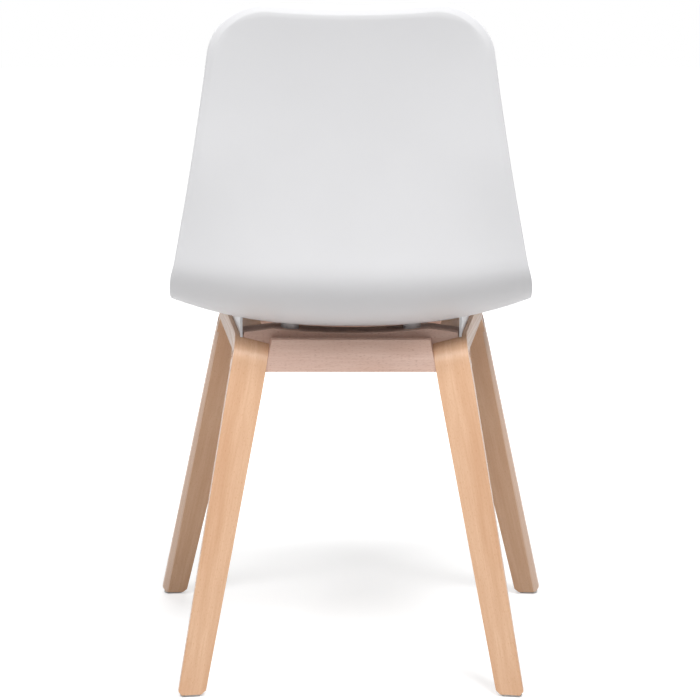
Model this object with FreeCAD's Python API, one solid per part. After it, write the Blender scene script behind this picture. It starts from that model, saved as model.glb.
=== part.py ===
import FreeCAD, Part
import math
import os
from FreeCAD import Vector

# Moulded plastic shell chair on a bent laminated wood frame.
# Millimetres, Z up, floor at Z = 0, the sitter looks along -Y and the back of the chair is at +Y.
# X = 0 is the plane of symmetry, with the +X side called right, and the origin is on the floor
# midway between the rearmost and frontmost points of the shell.

# Clearances
seat_gap = 0.2          # between a piece and the face that it rests on
hole_gap = 0.25         # all round a bolt, screw or dowel in its hole

# Seat shell, measured on its outer side: the underside of the seat and the rear of the back
overall_height = 825.0
back_top_y = 257.7      # how far behind the origin the top of the back lies
back_foot_recline = 9.0 # degrees from upright, just above the bend
back_top_recline = 19.0 # and at the top
pan_height = 437.0      # underside of the seat on the centre line, above the origin
pan_pitch = 4.0         # degrees, lower at the rear
seat_bend_radius = 95.0
seat_front_y = 217.5    # where the front lip starts, in front of the origin
lip_radius = 60.0
lip_turn = 32.0         # degrees
shell_wall = 6.0
shell_width = 440.0
shell_front_width = 412.0
back_top_width = 312.0
back_waist = 4.5        # how much each side of the back is drawn in halfway up
hip_softness = 32.0     # how gently the sides turn from the seat into the narrowing back
dish_rear = 34.0        # rise of the side rims above the centre line at the bend
dish_front = 12.0
dish_back = 17.0        # the same at the top of the back
dish_power = 2.4
back_corner_radius = 60.0
front_corner_radius = 75.0
top_edge_sag = 4.0      # the top edge is lower in the middle

# Ribs and bosses under the seat
rib_wall = 3.0
rib_offset = 14.0       # side ribs, outward from the middle of each side arch
side_rib_length = 232.0
rib_reach = 36.0        # how far the ribs are drawn up before the shell cuts them off
grid_rib_depth = 8.0
boss_diameter = 22.0
boss_offset = 75.0      # of the seat bolts from the centre line

# Side arches, bent from laminated wood: a leg, a level top and another leg in one leaning plane
arch_top = 418.9        # height of the middle of the level top face
arch_offset = 134.2     # of that face's middle from the centre line
arch_lean = 11.65       # degrees, feet outward
arch_toe = 7.07         # degrees, front feet further apart than the rear ones
arch_thickness = 20.0
arch_width = 42.2
foot_width = 32.2
taper_start = 62.0      # the legs narrow from this far under the top face
leg_rake = 12.37        # degrees, each leg in the plane of its arch
foot_reach = 216.4      # from the middle of the arch to the middle of a foot, at the floor
bend_outer_radius = 40.0
frame_middle_y = -14.4  # of the wooden frame, which stands a little forward under the shell
bevel_top = 4.0         # long bevel on the outer edge of the inner face: its width under the bend
bevel_foot = 7.5        # and at the foot
bevel_depth_ratio = 1.45
foot_corner = 4.5

# Rails between the arches
rail_thickness = 18.0
rail_height = 39.5
rail_drop = 0.5         # top of the rail below the middle of the arch's top face
rail_inset = 3.0        # rear face of the rail, inside the outer face of the leg

# Bearers, cross boards that lie on the arches and carry the shell
bearer_depth = 45.0
bearer_height = 24.0
bearer_top = 429.2
bearer_end = 11.0       # end of the bearer, outward from the middle of the arch
bearer_shoulder = 27.5  # where its top starts to slope down, inward from the middle of the arch
bearer_end_slope = 8.0  # degrees
bearer_scoop = 5.5
bearer_web = 12.0       # wood left under the pocket of a boss
bearer_rail_gap = 0.5

# Fasteners
dowel_diameter = 6.0
dowel_length = 30.0
dowel_rise = 10.0       # of the dowel above the bolt beside it
dowel_shift = 4.5       # and towards the middle of the chair
fixing_drop = 25.0      # of the bolt below the arch's top face
bolt_diameter = 6.0
bolt_head_diameter = 10.0
bolt_head_height = 4.0
bolt_socket = 4.0
bolt_recess = 7.0
washer_diameter = 12.0
washer_wall = 1.2
nut_diameter = 10.0
nut_length = 13.0
nut_reach = 15.0        # of the barrel nut's axis into the rail
screw_diameter = 4.0
screw_head_diameter = 8.0
screw_length = 27.0
screw_pitch = 16.0
screw_shift = 7.0       # of the screws from the middle of the bearer, off the arch's bend
screw_inset = 8.0       # inward from the middle of the arch
insert_diameter = 8.5
insert_length = 10.0
seat_washer_diameter = 16.0
seat_bolt_grip = 8.0    # length of thread in the insert

# Glides
glide_length = 26.0
glide_width = 14.0
glide_wall = 3.0
nail_diameter = 2.5
nail_head_diameter = 8.0
nail_head_wall = 1.0
nail_length = 20.0

FAR = 400.0
X_AXIS = Vector(1, 0, 0)
Y_AXIS = Vector(0, 1, 0)
Z_AXIS = Vector(0, 0, 1)


def radians(degrees):
    return math.radians(degrees)


def mirrored(shape):
    """The same shape on the other side of the chair."""
    return shape.mirror(Vector(0, 0, 0), X_AXIS)


def box_between(low, high):
    size = high - low
    return Part.makeBox(size.x, size.y, size.z, low)


def group(solids):
    return Part.makeCompound(solids)


def save(name, shape):
    shape.exportStep("parts/" + name + ".step")


def rounded_wire(corners, radii):
    """Closed wire through flat corners, each rounded by its own radius."""
    edges = []
    starts = []
    count = len(corners)
    for i in range(count):
        corner = corners[i]
        radius = radii[i]
        to_last = (corners[i - 1] - corner).normalize()
        to_next = (corners[(i + 1) % count] - corner).normalize()
        if radius <= 0:
            starts.append((corner, None, corner))
            continue
        half = to_last.getAngle(to_next) / 2
        reach = radius / math.tan(half)
        middle = corner + (to_last + to_next).normalize() * (radius / math.sin(half) - radius)
        starts.append((corner + to_last * reach, middle, corner + to_next * reach))
    for i in range(count):
        first, middle, last = starts[i]
        if middle is not None:
            edges.append(Part.Arc(first, middle, last).toShape())
        following = starts[(i + 1) % count][0]
        if last.distanceToPoint(following) > 1e-6:
            edges.append(Part.LineSegment(last, following).toShape())
    return Part.Wire(edges)


def prism(corners, radii, push):
    return Part.Face(rounded_wire(corners, radii)).extrude(push)


def sharp_prism(corners, push):
    return prism(corners, [0] * len(corners), push)


# Frame of the right-hand arch: x along it towards the front, y up in its plane, z inward across it.
lean = radians(arch_lean)
toe = radians(arch_toe)
rake = radians(leg_rake)
arch_forward = Vector(math.sin(toe), -math.cos(toe), 0)
arch_level = Vector(math.cos(toe), math.sin(toe), 0)
arch_up = Z_AXIS * math.cos(lean) - arch_level * math.sin(lean)
arch_outward = arch_level * math.cos(lean) + Z_AXIS * math.sin(lean)
arch_origin = Vector(arch_offset, frame_middle_y, arch_top)


def arch_placement():
    u, v, w = arch_forward, arch_up, arch_outward * -1
    o = arch_origin
    return FreeCAD.Placement(FreeCAD.Matrix(
        u.x, v.x, w.x, o.x,
        u.y, v.y, w.y, o.y,
        u.z, v.z, w.z, o.z,
        0, 0, 0, 1))


ARCH = arch_placement()


def on_arch(shape):
    """Moves a shape from the right-hand arch's frame into the chair's frame."""
    placed = shape.copy()
    placed.Placement = ARCH.multiply(placed.Placement)
    return placed


def at_arch(x, y, z):
    return ARCH.multVec(Vector(x, y, z))


floor_drop = arch_top / math.cos(lean)          # from the top face down to the floor, in the arch's plane
half_width = arch_width / 2
half_foot = foot_width / 2
half_leg = arch_thickness / 2 / math.cos(rake)
bend_inner_radius = bend_outer_radius - arch_thickness


def leg_centre(y):
    """Distance of a leg's centre line from the middle of the arch, at the height y in the arch's frame."""
    return foot_reach - (y + floor_drop) * math.tan(rake)


def leg_side(y):
    """Half width of a leg at the height y, below the start of its taper."""
    share = (-taper_start - y) / (floor_drop - taper_start)
    return half_width + (half_foot - half_width) * share


def leg_bevel_cutter():
    """Wedge for the long bevel on the front leg, in the arch's frame."""
    over = 3.0
    wires = []
    bend_end = arch_thickness + bend_inner_radius
    for y, bevel in ((-bend_end, bevel_top), (-floor_drop - over, bevel_foot)):
        depth = bevel * bevel_depth_ratio
        inner = leg_centre(y) - half_leg
        side = -leg_side(y)
        face_point = Vector(inner - over, y, side + bevel * (1 + over / depth))
        side_point = Vector(inner + depth * (1 + over / bevel), y, side - over)
        wires.append(Part.makePolygon([face_point, side_point, Vector(inner - over, y, side - over), face_point]))
    return Part.makeLoft(wires, True, True)


def foot_corner_cutters():
    """Wedges that take the lower corners off the sides of the right-hand front foot."""
    cutters = []
    y = -floor_drop + glide_wall / math.cos(lean)
    centre = at_arch(leg_centre(y), y, 0)
    half = leg_side(y) / math.cos(lean)
    long = arch_thickness
    for side in (1, -1):
        inset = side * (half - foot_corner)
        rise = side * half - foot_corner * math.tan(lean)
        low = centre + arch_level * inset
        high = centre + arch_level * rise + Z_AXIS * foot_corner
        along = (high - low).normalize() * foot_corner
        outside = arch_level * (side * foot_corner * 3)
        corners = [low - along, high + along, high + along + outside, low - along + outside]
        corners = [corner - arch_forward * long for corner in corners]
        cutters.append(sharp_prism(corners, arch_forward * long * 2))
    return cutters


def make_arch():
    """Right-hand side arch, without its holes."""
    deep = -floor_drop - arch_thickness * 2
    outer_foot = leg_centre(deep) + half_leg
    outer_knee = leg_centre(0) + half_leg
    inner_knee = leg_centre(-arch_thickness) - half_leg
    inner_foot = leg_centre(deep) - half_leg
    corners = [
        Vector(outer_foot, deep, -half_width), Vector(outer_knee, 0, -half_width),
        Vector(-outer_knee, 0, -half_width), Vector(-outer_foot, deep, -half_width),
        Vector(-inner_foot, deep, -half_width), Vector(-inner_knee, -arch_thickness, -half_width),
        Vector(inner_knee, -arch_thickness, -half_width), Vector(inner_foot, deep, -half_width)]
    outer, inner = bend_outer_radius, bend_inner_radius
    arch = prism(corners, [0, outer, outer, 0, 0, inner, inner, 0], Z_AXIS * arch_width)
    for side in (1, -1):
        edge = side * leg_side(deep)
        outside = side * arch_width
        taper = sharp_prism([
            Vector(-FAR, -taper_start, side * half_width), Vector(-FAR, deep, edge),
            Vector(-FAR, deep, outside), Vector(-FAR, -taper_start, outside)], X_AXIS * FAR * 2)
        arch = arch.cut(taper)
    bevel = leg_bevel_cutter()
    arch = arch.cut(bevel).cut(bevel.mirror(Vector(0, 0, 0), X_AXIS))
    arch = on_arch(arch)
    arch = arch.cut(box_between(Vector(-FAR, -FAR, -FAR), Vector(FAR, FAR, glide_wall)))
    front = foot_corner_cutters()
    for cutter in front:
        arch = arch.cut(cutter)
        arch = arch.cut(cutter.mirror(arch_origin, arch_forward))
    return arch


rail_line = (X_AXIS * -math.cos(lean) - Z_AXIS * math.sin(lean)).normalize()


def along_rail(x, y):
    """Placement of a bore at x, y on the right-hand arch: its Z runs inward, in line with the rail."""
    return FreeCAD.Placement(at_arch(x, y, 0), FreeCAD.Rotation(Z_AXIS, rail_line))


def arch_rod(x, y, z_from, z_to, diameter):
    """Round rod through the right-hand arch and into the rail, from one depth to another."""
    rod = Part.makeCylinder(diameter / 2, z_to - z_from, Vector(0, 0, z_from), Z_AXIS)
    rod.Placement = along_rail(x, y).multiply(rod.Placement)
    return rod


# Rails. Each end has a bolt on the rail's middle plane and a dowel above it.
rail_top = arch_top - rail_drop
rail_rear = leg_centre(-fixing_drop) * math.cos(toe) + half_leg - rail_inset
rail_middle = rail_rear - rail_thickness / 2
fixing_x = rail_middle / math.cos(toe)
dowel_x = fixing_x - dowel_shift
dowel_y = -fixing_drop + dowel_rise
wood_face = half_width + seat_gap


def beyond_arch(z_limit):
    """Everything outward of a plane across the right-hand arch."""
    return on_arch(box_between(Vector(-FAR, -FAR * 2, -FAR), Vector(FAR, FAR, z_limit)))


def rail_dowel(end, clearance):
    """Dowel of one rail end on the right-hand side, or its hole; end is 1 at the front, -1 at the rear."""
    low = half_width - dowel_length / 2 - clearance
    high = half_width + dowel_length / 2 + clearance
    return arch_rod(end * dowel_x, dowel_y, low, high, dowel_diameter + clearance * 2)


def rail_fixing_holes(end):
    """Holes through the arch and into the rail for one rail end on the right-hand side."""
    x = end * fixing_x
    over = arch_width
    shank = bolt_diameter + hole_gap * 2
    tip = wood_face + nut_reach + nut_diameter
    recess = washer_diameter + hole_gap * 2
    return [
        arch_rod(x, -fixing_drop, -half_width - over, tip, shank),
        arch_rod(x, -fixing_drop, -half_width - over, -half_width + bolt_recess, recess),
        rail_dowel(end, hole_gap)]


def barrel(end, clearance):
    """Barrel nut, or its hole, let into the rail from the face towards the middle of the chair."""
    centre = along_rail(end * fixing_x, -fixing_drop).multVec(Vector(0, 0, wood_face + nut_reach))
    start = Vector(centre.x, frame_middle_y - end * (rail_middle - rail_thickness / 2), centre.z)
    start = start + Y_AXIS * (end * clearance)
    return Part.makeCylinder(nut_diameter / 2 + clearance, nut_length + clearance * 2, start, Y_AXIS * -end)


def make_rail(end):
    """Rail between the arches, at the front (end 1) or at the rear (end -1)."""
    near = frame_middle_y - end * rail_middle - rail_thickness / 2
    rail = box_between(
        Vector(-FAR, near, rail_top - rail_height), Vector(FAR, near + rail_thickness, rail_top))
    cutters = [beyond_arch(wood_face)] + rail_fixing_holes(end) + [barrel(end, hole_gap)]
    for cutter in cutters:
        rail = rail.cut(cutter).cut(mirrored(cutter))
    return rail


# Bearers
bearer_middle = rail_middle - rail_thickness / 2 - bearer_rail_gap - bearer_depth / 2
bearer_x = bearer_middle / math.cos(toe)
bearer_bottom = bearer_top - bearer_height


def shoulder_x(end):
    """Where the top of a bearer starts to slope down to the right, at the front or at the rear."""
    return arch_offset + end * bearer_x * math.sin(toe) - bearer_shoulder


def bearer_outline(end):
    """Front view of a bearer: its ends slope down and its top is scooped clear of the dished seat."""
    shoulder = shoulder_x(end)
    tip = shoulder + bearer_shoulder + arch_width
    end_height = bearer_top - (tip - shoulder) * math.tan(radians(bearer_end_slope))
    scoop_end = Vector(shoulder, 0, bearer_top)
    corners = [
        Vector(-shoulder, 0, bearer_top), Vector(-tip, 0, end_height), Vector(-tip, 0, bearer_bottom),
        Vector(tip, 0, bearer_bottom), Vector(tip, 0, end_height), scoop_end]
    lowest = Vector(0, 0, bearer_top - bearer_scoop)
    scoop = Part.Arc(scoop_end, lowest, corners[0]).toShape()
    return Part.Wire([Part.makePolygon(corners), scoop])


def arch_bed():
    """Everything that lies too near the right-hand arch for a piece scribed to its top and bends."""
    deep = -floor_drop
    foot = leg_centre(deep) + half_leg + seat_gap
    knee = leg_centre(seat_gap) + half_leg + seat_gap
    corners = [
        Vector(foot, deep, -FAR), Vector(knee, seat_gap, -FAR),
        Vector(-knee, seat_gap, -FAR), Vector(-foot, deep, -FAR)]
    radius = bend_outer_radius + seat_gap
    return on_arch(prism(corners, [0, radius, radius, 0], Z_AXIS * (FAR + wood_face)))


def screw_places():
    """Along one arch, where the bearer screws pass through its top."""
    first = bearer_x - screw_shift - screw_pitch / 2
    return [end * (first + step) for end in (1, -1) for step in (0, screw_pitch)]


def arch_screw(x, clearance):
    """Countersunk screw up through the arch's top, or its hole."""
    head = screw_head_diameter / 2 + clearance
    shank = screw_diameter / 2 + clearance
    foot = -arch_thickness
    cone = head - shank
    tip = foot + screw_length + clearance
    z = screw_inset
    points = [
        Vector(x, foot, z), Vector(x + head, foot, z), Vector(x + shank, foot + cone, z),
        Vector(x + shank, tip, z), Vector(x, tip, z)]
    half = Part.Face(Part.makePolygon(points + points[:1]))
    return half.revolve(Vector(x, 0, z), Y_AXIS, 360)


def bearer_screw(x):
    """One bearer screw with its cross recess, in the chair's frame."""
    screw = arch_screw(x, 0)
    arm = screw_head_diameter * 0.3
    blade = arm / 3
    depth = screw_head_diameter * 0.2
    centre = Vector(x, -arch_thickness, screw_inset)
    for long, wide in ((arm, blade), (blade, arm)):
        corner = Vector(long / 2, 0, wide / 2)
        screw = screw.cut(box_between(centre - corner - Y_AXIS, centre + corner + Y_AXIS * depth))
    return on_arch(screw)


pocket_floor = bearer_bottom + bearer_web
boss_bottom = pocket_floor + seat_gap


def seat_bolt_places():
    return [
        Vector(x, frame_middle_y - end * bearer_middle, 0)
        for x in (boss_offset, -boss_offset) for end in (1, -1)]


def make_bearer(end):
    """Bearer at the front (end 1) or at the rear (end -1)."""
    face = Part.Face(bearer_outline(end))
    face.translate(Vector(0, frame_middle_y - end * bearer_middle - bearer_depth / 2, 0))
    bearer = face.extrude(Y_AXIS * bearer_depth)
    for cutter in (arch_bed(), beyond_arch(-bearer_end)):
        bearer = bearer.cut(cutter).cut(mirrored(cutter))
    for x in screw_places():
        hole = on_arch(arch_screw(x, hole_gap))
        bearer = bearer.cut(hole).cut(mirrored(hole))
    for place in seat_bolt_places():
        pocket_radius = boss_diameter / 2 + hole_gap * 2
        pocket = Part.makeCylinder(pocket_radius, FAR, place + Z_AXIS * pocket_floor)
        hole = Part.makeCylinder(bolt_diameter / 2 + hole_gap, FAR, place)
        hole.translate(Z_AXIS * (bearer_bottom - FAR / 2))
        bearer = bearer.cut(pocket).cut(hole)
    return bearer


def socket_bolt(foot, shank_length):
    """Upright bolt with a hexagon socket in its head: the head hangs below the point foot."""
    head = Part.makeCylinder(bolt_head_diameter / 2, bolt_head_height, foot - Z_AXIS * bolt_head_height)
    head = head.makeFillet(bolt_head_height * 0.3, [head.Edges[2]])
    shank = Part.makeCylinder(bolt_diameter / 2, shank_length, foot)
    shank = shank.makeChamfer(bolt_diameter * 0.12, [shank.Edges[0]])
    bolt = head.fuse(shank)
    circle_radius = bolt_socket / 2 / math.cos(math.pi / 6)
    corners = []
    for i in range(6):
        turn = math.pi / 3 * i
        offset = Vector(math.cos(turn), math.sin(turn), 0) * circle_radius
        corners.append(foot - Z_AXIS * (bolt_head_height + 1) + offset)
    return bolt.cut(sharp_prism(corners, Z_AXIS * (bolt_head_height * 0.6 + 1))).removeSplitter()


def ring(centre, outer, inner, height):
    disc = Part.makeCylinder(outer / 2, height, centre)
    return disc.cut(Part.makeCylinder(inner / 2, height * 3, centre - Z_AXIS * height))


def rail_bolt(end):
    """Bolt of one rail end on the right-hand side, laid across the arch, and its washer."""
    seat = -half_width + bolt_recess
    length = wood_face + nut_reach + nut_diameter / 2 - seat
    foot = Vector(0, 0, seat - washer_wall)
    bolt = socket_bolt(foot, length + washer_wall)
    washer = ring(foot, washer_diameter, bolt_diameter + hole_gap, washer_wall)
    place = along_rail(end * fixing_x, -fixing_drop)
    for piece in (bolt, washer):
        piece.Placement = place.multiply(piece.Placement)
    return bolt, washer


def barrel_nut(end):
    tip = wood_face + nut_reach + nut_diameter
    return barrel(end, 0).cut(arch_rod(end * fixing_x, -fixing_drop, 0, tip, bolt_diameter + hole_gap))


# Seat shell
pan_angle = radians(pan_pitch)
foot_angle = radians(90 - back_foot_recline)
top_angle = radians(90 - back_top_recline)


def bend_start():
    """Outer point (y, z) where the level of the seat turns into the bend.

    The back is an arc that starts where the bend ends, leans further back as it climbs, and ends
    at back_top_y and overall_height. Its chord leans by the mean of the two reclines.
    """
    slope = (math.sin(foot_angle) - math.sin(top_angle)) / (math.cos(top_angle) - math.cos(foot_angle))
    bend_run = seat_bend_radius * (math.sin(foot_angle) + math.sin(pan_angle))
    bend_rise = seat_bend_radius * (math.cos(pan_angle) - math.cos(foot_angle))
    back_rise = overall_height - pan_height - bend_rise
    pitch = math.tan(pan_angle)
    y = (back_top_y - bend_run - slope * back_rise) / (1 + slope * pitch)
    return y, pan_height - y * pitch


bend_start_y, bend_start_z = bend_start()
bend_turn = pan_angle + foot_angle
bend_end_z = bend_start_z + seat_bend_radius * (math.cos(pan_angle) - math.cos(foot_angle))
back_radius = (overall_height - bend_end_z) / (math.cos(top_angle) - math.cos(foot_angle))
back_length = back_radius * (foot_angle - top_angle)
pan_length = (bend_start_y + seat_front_y) / math.cos(pan_angle)
bend_length = seat_bend_radius * bend_turn
lip_length = lip_radius * radians(lip_turn)


def outer_path(s):
    """Point (y, z) and heading of the shell's outer centre line, s from the start of the bend, rearward."""
    if s < -pan_length:
        turn = (-pan_length - s) / lip_radius
        y0, z0 = -seat_front_y, bend_start_z + pan_length * math.sin(pan_angle)
        heading = -pan_angle + turn
        y = y0 - lip_radius * (math.sin(heading) - math.sin(-pan_angle))
        z = z0 - lip_radius * (math.cos(-pan_angle) - math.cos(heading))
        return y, z, heading
    if s < 0:
        return bend_start_y + s * math.cos(pan_angle), bend_start_z - s * math.sin(pan_angle), -pan_angle
    if s < bend_length:
        heading = s / seat_bend_radius - pan_angle
        y = bend_start_y + seat_bend_radius * (math.sin(heading) + math.sin(pan_angle))
        z = bend_start_z + seat_bend_radius * (math.cos(pan_angle) - math.cos(heading))
        return y, z, heading
    y, z, heading = outer_path(bend_length - 1e-9)
    lower = heading
    heading = lower - (s - bend_length) / back_radius
    y = y + back_radius * (math.sin(lower) - math.sin(heading))
    z = z + back_radius * (math.cos(heading) - math.cos(lower))
    return y, z, heading


def smooth(t):
    t = min(max(t, 0.0), 1.0)
    return t * t * (3 - 2 * t)


def shell_half_width(s):
    """The sides are parallel at the bend, draw in gently to the front and steadily up the back."""
    hip = bend_length * 0.75
    run = s - hip
    climb = (run + math.sqrt(run * run + hip_softness ** 2)) / 2 / (bend_length + back_length - hip)
    narrowing = (shell_width - back_top_width) / 2 * climb
    waist = back_waist * math.sin(math.pi * min(max(climb, 0), 1))
    front = (shell_width - shell_front_width) / 2 * smooth(-s / (pan_length + lip_length))
    return shell_width / 2 - narrowing - waist - front


def shell_dish(s):
    if s < 0:
        return dish_rear + (dish_front - dish_rear) * smooth(-s / (pan_length + lip_length))
    return dish_rear + (dish_back - dish_rear) * smooth((s - bend_length / 2) / (back_length * 0.7))


def shell_point(s, x, depth):
    """Point of the shell at s along the centre line, x across, and depth towards the sitter."""
    y, z, heading = outer_path(s)
    rise = shell_dish(s) * (abs(x) / (shell_half_width(s))) ** dish_power + depth
    return Vector(x, y - rise * math.sin(heading), z + rise * math.cos(heading))


def shell_section(s, outer_depth, inner_depth):
    """Closed section of the shell at s, between two depths."""
    half = shell_half_width(s)
    steps = 12
    places = [half * (2 * i / steps - 1) for i in range(steps + 1)]
    outer = Part.BSplineCurve()
    outer.interpolate([shell_point(s, x, outer_depth) for x in places])
    inner = Part.BSplineCurve()
    inner.interpolate([shell_point(s, x, inner_depth) for x in reversed(places)])
    right = Part.LineSegment(outer.EndPoint, inner.StartPoint)
    left = Part.LineSegment(inner.EndPoint, outer.StartPoint)
    return Part.Wire([outer.toShape(), right.toShape(), inner.toShape(), left.toShape()])


def shell_stations():
    over = 12.0
    places = [-pan_length - lip_length, -pan_length - lip_length / 2, -pan_length]
    places += [-pan_length * share for share in (0.8, 0.6, 0.4, 0.2)]
    places += [bend_length * share for share in (0, 0.2, 0.4, 0.6, 0.8, 1)]
    places += [bend_length + (back_length + over) * share for share in (0.15, 0.32, 0.5, 0.68, 0.85, 1)]
    return places


def shell_body(outer_depth, inner_depth, stations):
    return Part.makeLoft([shell_section(s, outer_depth, inner_depth) for s in stations], True, False)


def back_outline_cutter():
    """Everything outside the rounded top of the back, seen from behind."""
    reach = back_corner_radius * 1.6 / math.sin(top_angle)
    low_s = bend_length + back_length - reach
    low_z = outer_path(low_s)[1]
    low_half = shell_half_width(low_s)
    top_half = shell_half_width(bend_length + back_length)
    side_slope = (low_half - top_half) / (overall_height - low_z)
    grow = FAR / 4
    out = grow * side_slope
    corners = [
        Vector(low_half + out, 0, low_z - grow), Vector(top_half, 0, overall_height),
        Vector(-top_half, 0, overall_height), Vector(-low_half - out, 0, low_z - grow)]
    radius = back_corner_radius
    keep_wire = rounded_wire(corners, [0, radius, radius, 0])
    keep = Part.Face(keep_wire).extrude(Y_AXIS * FAR * 2)
    horn = top_half - back_corner_radius
    sag_radius = (horn ** 2 + top_edge_sag ** 2) / (2 * top_edge_sag)
    sag_centre = Vector(0, 0, overall_height - top_edge_sag + sag_radius)
    sag = Part.makeCylinder(sag_radius, FAR * 2, sag_centre, Y_AXIS)
    around = box_between(
        Vector(-FAR, 0, low_z), Vector(FAR, FAR * 2, overall_height + FAR / 2))
    return around.cut(keep), sag


def front_corner_cutter():
    """Everything outside the rounded front corners, seen from above."""
    path_y, path_z, heading = outer_path(-pan_length - lip_length)
    edge_y = path_y - (shell_wall + dish_front) * math.sin(heading)
    half = shell_half_width(-pan_length - lip_length)
    rear_half = shell_half_width(-pan_length + front_corner_radius)
    rear_y = outer_path(-pan_length + front_corner_radius)[0]
    side_slope = (rear_half - half) / (rear_y - edge_y)
    grow = FAR / 4
    corners = [
        Vector(half, edge_y, 0), Vector(rear_half + side_slope * grow, rear_y + grow, 0),
        Vector(-rear_half - side_slope * grow, rear_y + grow, 0), Vector(-half, edge_y, 0)]
    radius = front_corner_radius
    keep = Part.Face(rounded_wire(corners, [radius, 0, 0, radius])).extrude(Z_AXIS * FAR * 3)
    around = box_between(Vector(-FAR, -FAR * 2, 0), Vector(FAR, rear_y, FAR * 3))
    return around.cut(keep)


def make_shell_blank():
    """The shell with its rounded corners, before its ribs."""
    stations = shell_stations()
    blank = shell_body(0, shell_wall, stations)
    outside, sag = back_outline_cutter()
    return blank.cut(outside).cut(sag).cut(front_corner_cutter())


def pan_stations():
    """Stations of the seat and the bend alone, for what is under the seat."""
    return [s for s in shell_stations() if s < bend_length * 0.7]


def side_rib():
    """Right-hand rib that stands the shell on the top face of its arch."""
    foot = at_arch(0, 0, -rib_offset) - Z_AXIS * arch_thickness
    half_length = side_rib_length / 2
    corners = [
        foot + arch_forward * along + arch_level * across
        for along, across in (
            (half_length, rib_wall / 2), (-half_length, rib_wall / 2),
            (-half_length, -rib_wall / 2), (half_length, -rib_wall / 2))]
    rib = sharp_prism(corners, Z_AXIS * (arch_thickness + rib_reach))
    return rib.cut(arch_bed())


def front_bearer_ribs():
    """Cross ribs that stand the shell on the front bearer."""
    ribs = []
    half = rib_wall / 2
    reach = shoulder_x(1)
    middle = frame_middle_y - bearer_middle
    for y in (middle - bearer_depth / 4, middle + bearer_depth / 4):
        low = Vector(-reach, y - half, bearer_top + seat_gap)
        ribs.append(box_between(low, Vector(reach, y + half, bearer_top + rib_reach)))
    return ribs


def grid_ribs():
    """Ribs of even depth under the open middle of the seat."""
    reach = bearer_middle - bearer_depth / 2 - rib_wall
    half = rib_wall / 2
    layer = shell_body(-grid_rib_depth, shell_wall / 2, pan_stations())
    plates = []
    front, rear = frame_middle_y - reach, frame_middle_y + reach
    for x in (-boss_offset, 0, boss_offset):
        plates.append(box_between(Vector(x - half, front, 0), Vector(x + half, rear, FAR * 2)))
    for y in (front + half, frame_middle_y, rear - half):
        plates.append(box_between(
            Vector(-boss_offset, y - half, 0), Vector(boss_offset, y + half, FAR * 2)))
    grid = plates[0].multiFuse(plates[1:])
    return grid.common(layer)


def make_shell():
    shell = make_shell_blank()
    above = shell_body(shell_wall / 2, shell_wall + rib_reach, pan_stations())
    rib = side_rib()
    under = [rib, mirrored(rib)] + front_bearer_ribs()
    for place in seat_bolt_places():
        under.append(Part.makeCylinder(boss_diameter / 2, rib_reach, place + Z_AXIS * boss_bottom))
    under = [piece.cut(above) for piece in under]
    shell = shell.multiFuse(under + [grid_ribs()])
    for place in seat_bolt_places():
        radius = insert_diameter / 2 + hole_gap
        hole = Part.makeCylinder(radius, insert_length + hole_gap * 4, place + Z_AXIS * boss_bottom)
        shell = shell.cut(hole)
    return shell


def seat_bolt(place):
    washer_foot = Z_AXIS * (bearer_bottom - seat_gap - washer_wall)
    length = washer_wall + seat_gap * 2 + bearer_web + seat_bolt_grip
    bore = bolt_diameter + hole_gap
    washer = ring(place + washer_foot, seat_washer_diameter, bore, washer_wall)
    return socket_bolt(place + washer_foot, length), washer


def threaded_insert(place):
    """Flanged bush with a knurled waist, pressed into a boss from below."""
    foot = place + Z_AXIS * boss_bottom
    insert = ring(foot, insert_diameter, bolt_diameter + hole_gap, insert_length)
    groove_foot = foot + Z_AXIS * (insert_length * 0.4)
    groove = ring(groove_foot, insert_diameter * 2, insert_diameter * 0.86, insert_length * 0.2)
    return insert.cut(groove)


def foot_centre(end):
    """Middle of a right-hand foot on the floor, at the front (end 1) or at the rear (end -1)."""
    y = -floor_drop
    return at_arch(end * leg_centre(y), y, 0)


def nail(end, clearance):
    """Nail of one right-hand glide, or its hole."""
    centre = foot_centre(end)
    head_foot = centre + Z_AXIS * (glide_wall - nail_head_wall - seat_gap)
    radius = nail_head_diameter / 2 + clearance
    head = Part.makeCylinder(radius, nail_head_wall + clearance, head_foot)
    shank = Part.makeCylinder(nail_diameter / 2 + clearance, nail_length - nail_diameter * 2, head_foot)
    point_foot = head_foot + Z_AXIS * (nail_length - nail_diameter * 2)
    point = Part.makeCone(nail_diameter / 2 + clearance, 0.2 + clearance, nail_diameter * 2, point_foot)
    return head.multiFuse([shank, point])


def make_glide(end):
    """Right-hand glide at the front (end 1) or at the rear (end -1)."""
    across = glide_length / 2
    along = glide_width / 2
    centre = foot_centre(end)
    corners = [
        centre + arch_level * x + arch_forward * y
        for x, y in ((across, along), (-across, along), (-across, -along), (across, -along))]
    radius = along * 0.98
    glide = prism(corners, [radius] * 4, Z_AXIS * (glide_wall - seat_gap / 2))
    floor_edges = [edge for edge in glide.Edges if edge.BoundBox.ZMax < 0.01]
    glide = glide.makeChamfer(glide_wall * 0.25, floor_edges)
    return glide.cut(nail(end, seat_gap / 2))


def finished_arch():
    arch = make_arch()
    for end in (1, -1):
        for hole in rail_fixing_holes(end):
            arch = arch.cut(hole)
        arch = arch.cut(nail(end, seat_gap))
    for x in screw_places():
        arch = arch.cut(on_arch(arch_screw(x, hole_gap)))
    return arch


def both_sides(shapes):
    return group(shapes + [mirrored(shape) for shape in shapes])


ENDS = (1, -1)
os.makedirs("parts", exist_ok=True)

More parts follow.
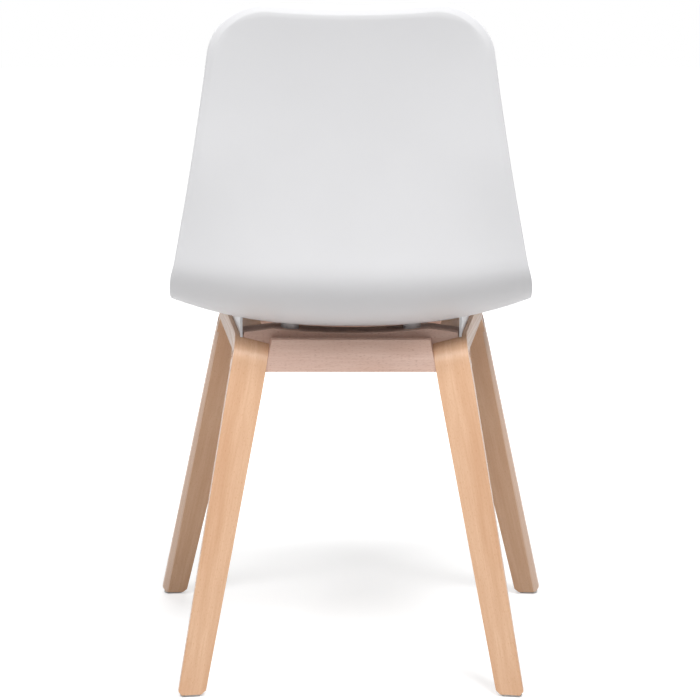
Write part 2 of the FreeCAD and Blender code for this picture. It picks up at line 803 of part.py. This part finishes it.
right_arch = finished_arch()
save("side_arch_right", right_arch)
save("side_arch_left", mirrored(right_arch))
save("seat_shell", make_shell())
save("front_rail", make_rail(1))
save("rear_rail", make_rail(-1))
save("front_bearer", make_bearer(1))
save("rear_bearer", make_bearer(-1))

rail_bolts = [rail_bolt(end) for end in ENDS]
save("rail_bolts", both_sides([bolt for bolt, washer in rail_bolts]))
save("rail_bolt_washers", both_sides([washer for bolt, washer in rail_bolts]))
save("rail_barrel_nuts", both_sides([barrel_nut(end) for end in ENDS]))
save("rail_dowels", both_sides([rail_dowel(end, 0) for end in ENDS]))
save("bearer_screws", both_sides([bearer_screw(x) for x in screw_places()]))

seat_bolts = [seat_bolt(place) for place in seat_bolt_places()]
save("seat_bolts", group([bolt for bolt, washer in seat_bolts]))
save("seat_bolt_washers", group([washer for bolt, washer in seat_bolts]))
save("seat_inserts", group([threaded_insert(place) for place in seat_bolt_places()]))

for end, name in ((1, "front"), (-1, "rear")):
    glide = make_glide(end)
    save("glide_" + name + "_right", glide)
    save("glide_" + name + "_left", mirrored(glide))
save("glide_nails", both_sides([nail(end, 0) for end in ENDS]))
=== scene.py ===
import functools
import math

import bmesh
import bpy
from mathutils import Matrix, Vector
from mathutils.bvhtree import BVHTree


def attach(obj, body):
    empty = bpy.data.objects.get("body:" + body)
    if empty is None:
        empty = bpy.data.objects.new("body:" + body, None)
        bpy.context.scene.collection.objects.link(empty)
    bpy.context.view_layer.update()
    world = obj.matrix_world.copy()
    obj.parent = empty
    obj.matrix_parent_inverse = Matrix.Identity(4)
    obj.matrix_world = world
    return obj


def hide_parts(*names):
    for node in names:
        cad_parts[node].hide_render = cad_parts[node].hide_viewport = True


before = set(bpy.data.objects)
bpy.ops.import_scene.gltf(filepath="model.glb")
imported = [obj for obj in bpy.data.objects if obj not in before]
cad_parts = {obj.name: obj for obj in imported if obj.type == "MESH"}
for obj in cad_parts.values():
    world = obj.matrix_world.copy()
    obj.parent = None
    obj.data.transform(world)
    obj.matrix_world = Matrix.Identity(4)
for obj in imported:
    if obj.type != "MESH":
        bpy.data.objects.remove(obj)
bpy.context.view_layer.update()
scene = bpy.context.scene

# Seat shell: the sizes of its outer side, in metres
overall_height = 0.825
back_top_y = 0.2577
back_foot_recline = 9   # degrees from upright
back_top_recline = 19
back_foot_angle = math.radians(90 - back_foot_recline)
back_top_angle = math.radians(90 - back_top_recline)
pan_height = 0.437
pan_pitch = math.radians(4)
seat_bend_radius = 0.095
seat_front_y = 0.2175
lip_radius = 0.060
lip_turn = math.radians(32)
shell_wall = 0.006
shell_width = 0.440
shell_front_width = 0.412
back_top_width = 0.312
back_waist = 0.0045
hip_share = 0.75        # the hip lies at this share of the bend
hip_softness = 0.032
dish_rear = 0.034
dish_front = 0.012
dish_back = 0.017
dish_power = 2.4
dish_fade_share = 0.7   # the depth of the dish changes over this share of the back
back_corner_radius = 0.060
front_corner_radius = 0.075
top_edge_sag = 0.004
top_settling = 0.16     # the rows of the net bend towards the top edge within this of it

# Rim of the shell, with a thinned band round its rear
rim_band = 0.009
rim_step = 0.0024
rim_round = 0.0013
band_start_share = 0.9  # the band begins at this share of the bend
band_fade_share = 0.45  # and reaches its full depth over this share of the back
step_foot = (0.9, 0.10)     # where the step of the band begins: shares of the band and of the step
step_head = (1.6, 0.9)      # where it ends: shares of the rounding and of the step
rear_rounding = (0.5, 0.2)  # the rear corner of the rim, in shares of the rounding
front_rounding = 0.35

# Net of the shell
corner_steps = 14
straight_steps_across = 14
straight_steps_along = 54
relax_steps = 40        # evens out the net near the rounded corners
shell_weld = 0.00002    # the nets and the rim are joined within this distance

# Ribs and bosses under the seat
rib_zone_x = 0.175      # they lie within this of the plane of symmetry
rib_zone_y = (-0.150, 0.120)
rib_zone_top = 0.458
skin_distance = 0.0015  # points this close to the drawn shell belong to its own faces
rib_lift_share = 0.3    # the upper edges of the ribs are raised by this share of the wall

# Skins taken from the solids
weld = 0.00001
flat_angle = math.radians(0.6)
sharp_angle = math.radians(32)
arch_bevel = 0.0006
board_bevel = 0.0007

# Side arches: place and lean of the right-hand one, and the path of its veneers
arch_origin = Vector((0.1342, -0.0144, 0.4189))
arch_lean = math.radians(11.65)
arch_toe = math.radians(7.07)
leg_rake = math.radians(12.37)
foot_reach = 0.2164
arch_thickness = 0.020
bend_outer_radius = 0.040
veneer = 0.00155
glue_share = 0.14       # share of a veneer that shows as the dark line of glue
edge_margin = 0.0004    # the edge shows its veneers from this far inside the two faces

# Camera, placed by fitting the chair's feet, rail and shell to the photograph
camera_place = Vector((0.0011, 2.823, 0.912))
camera_pitch = math.radians(10.6)
image_size = 700
focal_pixels = 2268.0
sensor_width = 36.0
clip_near, clip_far = 0.05, 60.0

# Studio: white light all round, and a floor that turns white away from the chair
world_light = 0.10
floor_half_size = 12.0
floor_grey = 0.56
floor_glow = 0.55
floor_glow_near, floor_glow_far = 0.5, 2.0


def blend(start, end, share):
    """From start at share 0 to end at share 1."""
    return start + (end - start) * share


def smooth(share):
    """Eases from 0 to 1 while share goes from 0 to 1."""
    share = min(max(share, 0.0), 1.0)
    return share * share * (3 - 2 * share)


# Path of the shell's outer centre line

bend_run = seat_bend_radius * (math.sin(back_foot_angle) + math.sin(pan_pitch))
bend_rise = seat_bend_radius * (math.cos(pan_pitch) - math.cos(back_foot_angle))


def bend_start():
    """Outer point (y, z) where the seat turns into the bend, so that the back ends at its top."""
    slope = (math.sin(back_foot_angle) - math.sin(back_top_angle)) / (
        math.cos(back_top_angle) - math.cos(back_foot_angle))
    back_rise = overall_height - pan_height - bend_rise
    pitch = math.tan(pan_pitch)
    y = (back_top_y - bend_run - slope * back_rise) / (1 + slope * pitch)
    return y, pan_height - y * pitch


bend_start_y, bend_start_z = bend_start()
bend_end_z = bend_start_z + bend_rise
back_radius = (overall_height - bend_end_z) / (math.cos(back_top_angle) - math.cos(back_foot_angle))
back_length = back_radius * (back_foot_angle - back_top_angle)
pan_length = (bend_start_y + seat_front_y) / math.cos(pan_pitch)
bend_length = seat_bend_radius * (pan_pitch + back_foot_angle)
lip_length = lip_radius * lip_turn
front_end = -pan_length - lip_length
back_end = bend_length + back_length


def outer_path(s):
    """(y, z, heading) of the outer centre line at s, counted rearward from the start of the bend."""
    if s < -pan_length:
        heading = -pan_pitch + (-pan_length - s) / lip_radius
        front_z = bend_start_z + pan_length * math.sin(pan_pitch)
        y = -seat_front_y - lip_radius * (math.sin(heading) + math.sin(pan_pitch))
        z = front_z - lip_radius * (math.cos(pan_pitch) - math.cos(heading))
        return y, z, heading
    if s < 0:
        y = bend_start_y + s * math.cos(pan_pitch)
        return y, bend_start_z - s * math.sin(pan_pitch), -pan_pitch
    lower = min(s, bend_length) / seat_bend_radius - pan_pitch
    y = bend_start_y + seat_bend_radius * (math.sin(lower) + math.sin(pan_pitch))
    z = bend_start_z + seat_bend_radius * (math.cos(pan_pitch) - math.cos(lower))
    heading = lower - max(s - bend_length, 0) / back_radius
    y += back_radius * (math.sin(lower) - math.sin(heading))
    z += back_radius * (math.cos(heading) - math.cos(lower))
    return y, z, heading


def shell_half_width(s):
    """Half the shell's width: narrower towards the front edge and, above the hip, up the back."""
    hip = bend_length * hip_share
    run = s - hip
    climb = (run + math.sqrt(run * run + hip_softness ** 2)) / 2 / (back_end - hip)
    narrowing = (shell_width - back_top_width) / 2 * climb
    waist = back_waist * math.sin(math.pi * min(max(climb, 0), 1))
    front = (shell_width - shell_front_width) / 2 * smooth(s / front_end)
    return shell_width / 2 - narrowing - waist - front


def shell_dish(s):
    """How far the sides of the shell stand in front of its centre line."""
    if s < 0:
        return blend(dish_rear, dish_front, smooth(s / front_end))
    return blend(dish_rear, dish_back, smooth((s - bend_length / 2) / (back_length * dish_fade_share)))


def shell_rise(s, x):
    """How far the shell at x stands in front of its centre line."""
    return shell_dish(s) * (abs(x) / shell_half_width(s)) ** dish_power


def shell_point(s, x, depth):
    """Point of the shell at s along its centre line, x across and depth towards the sitter."""
    y, z, heading = outer_path(s)
    rise = shell_rise(s, x) + depth
    return Vector((x, y - rise * math.sin(heading), z + rise * math.cos(heading)))


def top_edge_s(x):
    """Where the top edge lies at x, so that it stands at the overall height less its sag."""
    horn = shell_half_width(back_end) - back_corner_radius
    sag = top_edge_sag * max(1 - (x / horn) ** 2, 0)
    rise = shell_rise(back_end, x)
    return back_end - (sag + rise * math.cos(back_top_angle)) / math.sin(back_top_angle)


def corner_point(side, share, inset):
    """(s, x) at this share of the rounded corner on the back or the front, moved inward by inset."""
    if side == "back":
        radius, end, direction = back_corner_radius, back_end, 1
    else:
        radius, end, direction = front_corner_radius, front_end, -1
    turn = share * math.pi / 2
    s = end + direction * (-radius + (radius - inset) * math.sin(turn))
    return s, shell_half_width(s) - radius + (radius - inset) * math.cos(turn)


def outline_half(inset):
    """The right half of the outline from the middle of the front edge to the middle of the top."""
    points = []
    half_steps = straight_steps_across // 2
    half_front = shell_half_width(front_end + inset) - front_corner_radius
    half_back = shell_half_width(back_end - inset) - back_corner_radius
    for i in range(half_steps):
        points.append((front_end + inset, half_front * i / half_steps))
    for i in range(corner_steps + 1):
        points.append(corner_point("front", 1 - i / corner_steps, inset))
    low = front_end + front_corner_radius
    high = back_end - back_corner_radius
    for i in range(1, straight_steps_along):
        s = blend(low, high, i / straight_steps_along)
        points.append((s, shell_half_width(s) - inset))
    for i in range(corner_steps + 1):
        points.append(corner_point("back", i / corner_steps, inset))
    for i in range(half_steps):
        points.append((back_end - inset, half_back * (1 - (i + 1) / half_steps)))
    return points


def settled(s, x):
    """Bends the rows near the top so that the top edge follows its real height."""
    share = smooth((s - back_end + top_settling) / top_settling)
    return s - (back_end - top_edge_s(x)) * share


@functools.lru_cache
def full_outline(inset):
    """The whole outline, counter-clockwise from the middle of the front edge."""
    right = outline_half(inset)
    left = [(s, -x) for s, x in right[-2:0:-1]]
    return right + left


def band_strength(s):
    """The band round the rear of the rim is full on the upper back and fades out at the bend."""
    return smooth((s - bend_length * band_start_share) / (back_length * band_fade_share))


def rim_profile(s):
    """(inset, depth) of each ring from the rear face, over the rim, to the sitter's face."""
    step = rim_step * band_strength(s)
    return [
        (rim_band, 0.0),
        (rim_band * step_foot[0], step * step_foot[1]),
        (rim_round * step_head[0], step * step_head[1]),
        (rim_round * rear_rounding[0], step + rim_round * rear_rounding[1]),
        (0.0, step + rim_round),
        (0.0, shell_wall - rim_round),
        (rim_round * front_rounding, shell_wall - rim_round * front_rounding),
        (rim_round, shell_wall),
        (rim_band, shell_wall)]


def new_object(name, mesh_data, material):
    """Makes an object of a finished bmesh."""
    mesh = bpy.data.meshes.new(name)
    mesh_data.to_mesh(mesh)
    mesh_data.free()
    mesh.materials.append(material)
    made = bpy.data.objects.new(name, mesh)
    scene.collection.objects.link(made)
    return made


def new_piece(name, mesh_data, material):
    """Makes an object of a finished bmesh, and has it ride on the chair."""
    piece = new_object(name, mesh_data, material)
    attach(piece, "root")
    return piece


def coons_grid(mesh_data, outline, depth):
    """One face of the shell: a net of quads whose border lies on the outline."""
    across = straight_steps_across + corner_steps
    along = straight_steps_along + corner_steps
    start = straight_steps_across // 2 + corner_steps // 2
    ring = outline[start:] + outline[:start]
    right = ring[:along + 1]
    top = ring[along:along + across + 1]
    left = ring[along + across:2 * along + across + 1]
    front = ring[2 * along + across:] + [ring[0]]
    net = bmesh.ops.create_grid(mesh_data, x_segments=across, y_segments=along, size=1.0)["verts"]
    knots = {}
    places = {}
    for vert in net:
        u = (vert.co.x + 1) / 2
        v = (vert.co.y + 1) / 2
        i = round(u * across)
        j = round(v * along)
        flat = []
        for k in (0, 1):
            ruled = blend(front[i][k], top[across - i][k], v) + blend(left[along - j][k], right[j][k], u)
            front_row = blend(front[0][k], front[across][k], u)
            top_row = blend(top[across][k], top[0][k], u)
            flat.append(ruled - blend(front_row, top_row, v))
        knots[vert] = (i, j)
        places[i, j] = Vector(flat)
    for _ in range(relax_steps):
        places = {
            (i, j): place if i in (0, across) or j in (0, along) else
            (places[i - 1, j] + places[i + 1, j] + places[i, j - 1] + places[i, j + 1]) / 4
            for (i, j), place in places.items()}
    for vert in net:
        s, x = places[knots[vert]]
        vert.co = shell_point(settled(s, x), x, depth)


def next_ring(mesh_data, ring, places):
    """Closed ring of points at the given places, joined by quads to the ring before it."""
    count = len(places)
    if ring is None:
        verts = [mesh_data.verts.new(place) for place in places]
        for i in range(count):
            mesh_data.edges.new((verts[i], verts[(i + 1) % count]))
        return verts
    edges = [mesh_data.edges.get((ring[i], ring[(i + 1) % count])) for i in range(count)]
    made = bmesh.ops.extrude_edge_only(mesh_data, edges=edges)["geom"]
    fresh = {part for part in made if isinstance(part, bmesh.types.BMVert)}
    verts = [
        next(edge.other_vert(vert) for edge in vert.link_edges if edge.other_vert(vert) in fresh)
        for vert in ring]
    for vert, place in zip(verts, places):
        vert.co = place
    return verts


def make_shell(material):
    """The dished shell as one closed skin: two nets and the rim that joins them."""
    mesh_data = bmesh.new()
    outer_ring = full_outline(rim_band)
    coons_grid(mesh_data, outer_ring, 0.0)
    ring = None
    for k in range(len(rim_profile(0))):
        places = []
        for i, (s, x) in enumerate(outer_ring):
            inset, depth = rim_profile(s)[k]
            ring_s, ring_x = full_outline(inset)[i]
            places.append(shell_point(settled(ring_s, ring_x), ring_x, depth))
        ring = next_ring(mesh_data, ring, places)
    coons_grid(mesh_data, outer_ring, shell_wall)
    bmesh.ops.remove_doubles(mesh_data, verts=mesh_data.verts, dist=shell_weld)
    bmesh.ops.recalc_face_normals(mesh_data, faces=mesh_data.faces)
    for face in mesh_data.faces:
        face.smooth = True
    return new_piece("moulded_shell", mesh_data, material)


def in_rib_zone(place):
    """True for a point in the part of the seat that has ribs and bosses."""
    low_y, high_y = rib_zone_y
    return abs(place.x) < rib_zone_x and low_y < place.y < high_y and place.z < rib_zone_top


def make_under_ribs(shell, material):
    """The ribs and bosses under the seat, without the shell's own faces."""
    mesh_data = bmesh.new()
    mesh_data.from_mesh(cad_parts["seat_shell"].data)
    bmesh.ops.remove_doubles(mesh_data, verts=mesh_data.verts, dist=weld)
    tree = BVHTree.FromObject(shell, bpy.context.evaluated_depsgraph_get())
    on_shell = {vert for vert in mesh_data.verts if tree.find_nearest(vert.co)[3] < skin_distance}
    skin = [
        face for face in mesh_data.faces
        if all(vert in on_shell for vert in face.verts)
        or not all(in_rib_zone(vert.co) for vert in face.verts)]
    bmesh.ops.delete(mesh_data, geom=skin, context="FACES")
    for vert in mesh_data.verts:
        if vert in on_shell and any(edge.is_boundary for edge in vert.link_edges):
            vert.co.z += shell_wall * rib_lift_share
    shade_by_angle(mesh_data)
    return new_piece("seat_ribs", mesh_data, material)


def shade_by_angle(mesh_data):
    """Smooth faces with sharp edges where they meet at more than the sharp angle."""
    for face in mesh_data.faces:
        face.smooth = True
    for edge in mesh_data.edges:
        edge.smooth = len(edge.link_faces) == 2 and edge.calc_face_angle(0) < sharp_angle


def dressed_node(name, material, bevel):
    """The same shape as a node of the frame, as one skin with softened edges."""
    mesh_data = bmesh.new()
    mesh_data.from_mesh(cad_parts[name].data)
    bmesh.ops.remove_doubles(mesh_data, verts=mesh_data.verts, dist=weld)
    bmesh.ops.dissolve_limit(
        mesh_data, angle_limit=flat_angle, verts=mesh_data.verts, edges=mesh_data.edges)
    shade_by_angle(mesh_data)
    piece = new_piece(name + "_dressed", mesh_data, material)
    soften = piece.modifiers.new("softened edges", "BEVEL")
    soften.width = bevel
    soften.segments = 2
    soften.limit_method = "ANGLE"
    soften.angle_limit = sharp_angle
    soften.harden_normals = True
    soften.use_clamp_overlap = True
    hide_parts(name)
    return piece


# Veneers of the side arches

bend_middle_radius = bend_outer_radius - arch_thickness / 2
leg_turn = math.pi / 2 - leg_rake
floor_drop = arch_origin.z / math.cos(arch_lean)
half_leg = arch_thickness / 2 / math.cos(leg_rake)
outer_knee = foot_reach - floor_drop * math.tan(leg_rake) + half_leg
bend_x = outer_knee - bend_outer_radius * math.tan(leg_turn / 2)

arch_forward = Vector((math.sin(arch_toe), -math.cos(arch_toe), 0))
arch_level = Vector((math.cos(arch_toe), math.sin(arch_toe), 0))
arch_up = Vector((0, 0, math.cos(arch_lean))) - arch_level * math.sin(arch_lean)
arch_inward = (arch_level * math.cos(arch_lean) + Vector((0, 0, math.sin(arch_lean)))) * -1


def strip_place(point, side):
    """(along, across, depth) of a point in the bent strip: depth counts from its outer face."""
    local = Vector((point.x * side, point.y, point.z)) - arch_origin
    x, y, across = local.dot(arch_forward), local.dot(arch_up), local.dot(arch_inward)
    way = 1 if x >= 0 else -1
    run, drop = abs(x) - bend_x, y + bend_outer_radius
    if run < 0:
        return Vector((x, across, -y))
    turn = math.atan2(run, drop)
    if turn < leg_turn:
        along = bend_x + bend_middle_radius * turn
        return Vector((way * along, across, bend_outer_radius - math.hypot(run, drop)))
    leg_way = Vector((math.cos(leg_turn), -math.sin(leg_turn)))
    leg_out = Vector((math.sin(leg_turn), math.cos(leg_turn)))
    place = Vector((run, drop))
    along = bend_x + bend_middle_radius * leg_turn + place.dot(leg_way)
    return Vector((way * along, across, bend_outer_radius - place.dot(leg_out)))


def make_arch(name, side, material):
    """A side arch whose points know their place in the bent strip, which its wood grain follows."""
    arch = dressed_node(name, material, arch_bevel)
    strip = arch.data.attributes.new("strip", "FLOAT_VECTOR", "POINT")
    for vert, value in zip(arch.data.vertices, strip.data):
        value.vector = strip_place(vert.co, side)
    return arch


# Materials

class Nodes:
    """A node tree with short calls for its nodes."""

    def __init__(self, tree):
        self.tree = tree

    def node(self, kind, inputs=None, **settings):
        made = self.tree.nodes.new(kind)
        for key, value in settings.items():
            setattr(made, key, value)
        for key, value in (inputs or {}).items():
            if isinstance(value, bpy.types.NodeSocket):
                self.tree.links.new(value, made.inputs[key])
            else:
                made.inputs[key].default_value = value
        return made

    def math(self, operation, first, second):
        return self.node("ShaderNodeMath", {0: first, 1: second}, operation=operation).outputs[0]

    def seen(self):
        """1 where the camera looks, also by way of a reflection or a clear piece, and 0 elsewhere."""
        ray = self.node("ShaderNodeLightPath").outputs
        seen = self.math("MAXIMUM", ray["Is Camera Ray"], ray["Is Glossy Ray"])
        return self.math("MAXIMUM", seen, ray["Is Transmission Ray"])

    def choose(self, factor, first, second, output):
        """Sends the first shader to the output where factor is 0, and the second where it is 1."""
        chosen = self.node("ShaderNodeMixShader", {0: factor, 1: first, 2: second})
        self.tree.links.new(chosen.outputs[0], self.tree.nodes[output].inputs["Surface"])


class Finish(Nodes):
    """A node material with short calls for its surface."""

    def __init__(self, name, roughness, **settings):
        self.material = bpy.data.materials.new(name)
        self.material.use_nodes = True
        super().__init__(self.material.node_tree)
        self.shader = self.tree.nodes["Principled BSDF"]
        self.shader.inputs["Roughness"].default_value = roughness
        for socket, value in settings.items():
            self.shader.inputs[socket].default_value = value

    def place(self, scale, attribute=None):
        """Object coordinates, or a named attribute, scaled along each axis."""
        if attribute:
            source = self.node("ShaderNodeAttribute", attribute_name=attribute).outputs["Vector"]
        else:
            source = self.node("ShaderNodeTexCoord").outputs["Object"]
        return self.node("ShaderNodeMapping", {"Vector": source, "Scale": scale}).outputs["Vector"]

    def noise(self, place, scale, detail, roughness=0.5, distortion=0.0):
        return self.node("ShaderNodeTexNoise", {
            "Vector": place, "Scale": scale, "Detail": detail, "Roughness": roughness,
            "Distortion": distortion}).outputs["Fac"]

    def ramp(self, factor, low, high, to_low=0.0, to_high=1.0):
        """From to_low where factor is low to to_high where it is high."""
        return self.node("ShaderNodeMapRange", {
            "Value": factor, "From Min": low, "From Max": high, "To Min": to_low,
            "To Max": to_high}).outputs["Result"]

    def mix(self, factor, first, second):
        """The first colour where factor is 0 and the second where it is 1."""
        colours = {0: factor, 6: first, 7: second}
        return self.node("ShaderNodeMix", colours, data_type="RGBA").outputs[2]

    def color(self, socket):
        self.tree.links.new(socket, self.shader.inputs["Base Color"])

    def rough(self, socket):
        self.tree.links.new(socket, self.shader.inputs["Roughness"])

    def bump(self, height, distance, strength):
        made = self.node("ShaderNodeBump", {"Height": height, "Distance": distance, "Strength": strength})
        self.tree.links.new(made.outputs["Normal"], self.shader.inputs["Normal"])


def linear(red, green, blue):
    """The colour for a shader, from the colour as it shows on screen, 0 to 255."""
    def channel(value):
        value = value / 255
        return value / 12.92 if value <= 0.04045 else ((value + 0.055) / 1.055) ** 2.4
    return channel(red), channel(green), channel(blue), 1.0


def shell_plastic():
    """Satin white moulded plastic with the fine texture of its mould."""
    finish = Finish("satin white plastic", 0.42, IOR=1.49)
    place = finish.place((1, 1, 1))
    cloud = finish.noise(place, 7.0, 2.0)
    finish.color(finish.mix(finish.ramp(cloud, 0.3, 0.7), linear(237, 237, 239), linear(240, 240, 242)))
    grain = finish.noise(place, 1500.0, 2.0, 0.6)
    finish.rough(finish.ramp(finish.noise(place, 60.0, 3.0), 0.2, 0.8, 0.40, 0.48))
    finish.bump(grain, 0.00006, 0.35)
    return finish.material


def laminated_beech():
    """Clear-lacquered bent beech: straight grain along the strip, veneers on its edges."""
    finish = Finish("lacquered laminated beech", 0.38)
    broad = finish.noise(finish.place((5, 55, 200), "strip"), 1.0, 4.0, 0.55, 0.4)
    streak = finish.noise(finish.place((14, 420, 900), "strip"), 1.0, 4.0, 0.6)
    fibre = finish.noise(finish.place((90, 2600, 2600), "strip"), 1.0, 2.0, 0.5)
    fleck_field = finish.noise(finish.place((260, 1900, 1900), "strip"), 1.0, 0.0)
    fleck = finish.ramp(fleck_field, 0.66, 0.72)
    tone = finish.mix(finish.ramp(broad, 0.32, 0.68), linear(205, 161, 127), linear(222, 184, 152))
    tone = finish.mix(finish.ramp(streak, 0.35, 0.7, 0.0, 0.35), tone, linear(194, 145, 108))
    tone = finish.mix(finish.ramp(fleck, 0.0, 1.0, 0.0, 0.4), tone, linear(186, 130, 88))

    split = finish.node("ShaderNodeSeparateXYZ", {
        "Vector": finish.node("ShaderNodeAttribute", attribute_name="strip").outputs["Vector"]})
    depth = split.outputs["Z"]
    layer = finish.math("DIVIDE", depth, veneer)
    number = finish.math("FLOOR", layer, 0.0)
    chance = finish.node("ShaderNodeTexWhiteNoise", {"W": number}, noise_dimensions="1D").outputs["Value"]
    edge = finish.mix(chance, linear(222, 184, 156), linear(240, 214, 196))
    edge = finish.mix(finish.ramp(streak, 0.35, 0.7, 0.0, 0.3), edge, linear(208, 164, 132))
    glue = finish.math("LESS_THAN", finish.math("FRACT", layer, 0.0), glue_share)
    edge = finish.mix(finish.math("MULTIPLY", glue, 0.45), edge, linear(170, 118, 84))
    past_outer_face = finish.math("GREATER_THAN", depth, edge_margin)
    before_inner_face = finish.math("LESS_THAN", depth, arch_thickness - edge_margin)
    on_edge = finish.math("MULTIPLY", past_outer_face, before_inner_face)
    finish.color(finish.mix(on_edge, tone, edge))
    finish.rough(finish.ramp(fibre, 0.3, 0.7, 0.34, 0.44))
    finish.bump(finish.math("ADD", finish.math("MULTIPLY", streak, 0.5), fibre), 0.00005, 0.4)
    return finish.material


def raw_beech():
    """Solid steamed beech of the rails and bearers, with short dark rays."""
    finish = Finish("steamed raw beech", 0.6)
    broad = finish.noise(finish.place((4, 70, 45)), 1.0, 4.0, 0.55, 0.5)
    streak = finish.noise(finish.place((20, 700, 500)), 1.0, 4.0, 0.6)
    ray = finish.ramp(finish.noise(finish.place((220, 2100, 1700)), 1.0, 0.0), 0.64, 0.72)
    tone = finish.mix(finish.ramp(broad, 0.3, 0.7), linear(214, 180, 164), linear(232, 202, 188))
    tone = finish.mix(finish.ramp(streak, 0.35, 0.7, 0.0, 0.4), tone, linear(204, 162, 142))
    tone = finish.mix(finish.ramp(ray, 0.0, 1.0, 0.0, 0.45), tone, linear(176, 128, 104))
    finish.color(tone)
    finish.rough(finish.ramp(streak, 0.3, 0.7, 0.52, 0.68))
    finish.bump(streak, 0.00008, 0.5)
    return finish.material


def zinc_steel():
    """Zinc plated steel of the bolts, screws, washers, nuts and nails."""
    finish = Finish("zinc plated steel", 0.32, Metallic=1.0)
    place = finish.place((1, 1, 1))
    cloud = finish.noise(place, 220.0, 3.0)
    finish.color(finish.mix(finish.ramp(cloud, 0.3, 0.7), linear(176, 178, 182), linear(204, 206, 208)))
    finish.rough(finish.ramp(cloud, 0.3, 0.7, 0.26, 0.42))
    finish.bump(finish.noise(place, 1800.0, 1.0), 0.00003, 0.3)
    return finish.material


def turned_brass():
    """Brass of the inserts, with fine lines from turning."""
    finish = Finish("turned brass", 0.3, Metallic=1.0)
    place = finish.place((400, 400, 4000))
    lines = finish.noise(place, 1.0, 2.0)
    finish.color(finish.mix(finish.ramp(lines, 0.3, 0.7), linear(196, 160, 92), linear(222, 190, 122)))
    finish.bump(lines, 0.00003, 0.4)
    return finish.material


def glide_plastic():
    """Pale, slightly scuffed plastic of the glides."""
    finish = Finish("pale polyethylene", 0.5)
    place = finish.place((1, 1, 1))
    scuff = finish.noise(finish.place((900, 260, 900)), 1.0, 3.0)
    finish.color(finish.mix(finish.ramp(scuff, 0.35, 0.75), linear(214, 214, 212), linear(236, 236, 234)))
    finish.bump(finish.noise(place, 1400.0, 2.0), 0.00005, 0.5)
    return finish.material


def dress_frame():
    """Gives each piece of the frame its finish."""
    plastic = shell_plastic()
    beech = laminated_beech()
    raw = raw_beech()
    steel = zinc_steel()
    brass = turned_brass()
    pale = glide_plastic()
    shell = make_shell(plastic)
    ribs = make_under_ribs(shell, plastic)
    for piece in (shell, ribs):
        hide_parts("seat_shell")
    for name, side in (("side_arch_right", 1), ("side_arch_left", -1)):
        make_arch(name, side, beech)
    for name in ("front_rail", "rear_rail", "front_bearer", "rear_bearer"):
        dressed_node(name, raw, board_bevel)
    plain = {
        "rail_bolts": steel, "rail_bolt_washers": steel, "rail_barrel_nuts": steel,
        "bearer_screws": steel, "seat_bolts": steel, "seat_bolt_washers": steel,
        "glide_nails": steel, "seat_inserts": brass, "rail_dowels": raw,
        "glide_front_right": pale, "glide_front_left": pale,
        "glide_rear_right": pale, "glide_rear_left": pale}
    for name, material in plain.items():
        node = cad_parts[name]
        node.data.materials.clear()
        node.data.materials.append(material)


# Studio

def floor_finish():
    """Matt grey that lights the chair from below, and glows as the camera sees it, more further away."""
    finish = Finish("white studio floor", 0.9)
    finish.shader.inputs["Base Color"].default_value = (floor_grey, floor_grey, floor_grey, 1)
    finish.shader.inputs["Specular IOR Level"].default_value = 0.0
    seen = finish.seen()
    place = finish.node("ShaderNodeTexCoord").outputs["Object"]
    distance = finish.node("ShaderNodeVectorMath", {0: place}, operation="LENGTH").outputs["Value"]
    strength = finish.ramp(distance, floor_glow_near, floor_glow_far, floor_glow, 1.0)
    glow = finish.node("ShaderNodeEmission", {"Color": (1, 1, 1, 1), "Strength": strength})
    matt = finish.shader.outputs[0]
    both = finish.node("ShaderNodeAddShader", {0: matt, 1: glow.outputs[0]}).outputs[0]
    finish.choose(seen, matt, both, "Material Output")
    return finish.material


def make_floor():
    mesh_data = bmesh.new()
    bmesh.ops.create_grid(mesh_data, x_segments=1, y_segments=1, size=floor_half_size)
    floor = new_object("studio_floor", mesh_data, floor_finish())


def make_lamp(name, place, target, size, power):
    """A square lamp that shines from its place towards the target."""
    data = bpy.data.lights.new(name, "AREA")
    data.shape = "RECTANGLE"
    data.size = data.size_y = size
    data.energy = power
    lamp = bpy.data.objects.new(name, data)
    lamp.location = place
    lamp.rotation_euler = (Vector(target) - Vector(place)).to_track_quat("-Z", "Y").to_euler()
    scene.collection.objects.link(lamp)


def make_world():
    """White as the camera sees it, and a weak light all round for the chair."""
    world = bpy.data.worlds.new("white studio")
    scene.world = world
    world.use_nodes = True
    nodes = Nodes(world.node_tree)
    seen = nodes.seen()
    weak = world.node_tree.nodes["Background"]
    weak.inputs["Color"].default_value = (1, 1, 1, 1)
    weak.inputs["Strength"].default_value = world_light
    white = nodes.node("ShaderNodeBackground", {"Color": (1, 1, 1, 1), "Strength": 1.0})
    nodes.choose(seen, weak.outputs[0], white.outputs[0], "World Output")


def make_camera():
    data = bpy.data.cameras.new("camera")
    data.sensor_width = sensor_width
    data.lens = focal_pixels / image_size * sensor_width
    data.clip_start, data.clip_end = clip_near, clip_far
    camera = bpy.data.objects.new("camera", data)
    camera.location = camera_place
    way = Vector((0, -math.cos(camera_pitch), -math.sin(camera_pitch)))
    camera.rotation_euler = way.to_track_quat("-Z", "Y").to_euler()
    scene.collection.objects.link(camera)
    scene.camera = camera


dress_frame()
make_floor()
make_world()
make_lamp("key", place=(-0.8, 1.7, 3.6), target=(0, 0.1, 0.5), size=1.4, power=126)
make_lamp("fill", place=(1.3, 1.9, 3.2), target=(0, 0.1, 0.5), size=1.4, power=66)
make_lamp("front", place=(0.3, -2.2, 3.0), target=(0, 0, 0.4), size=2.0, power=55)
make_camera()
scene.view_settings.view_transform = "Standard"
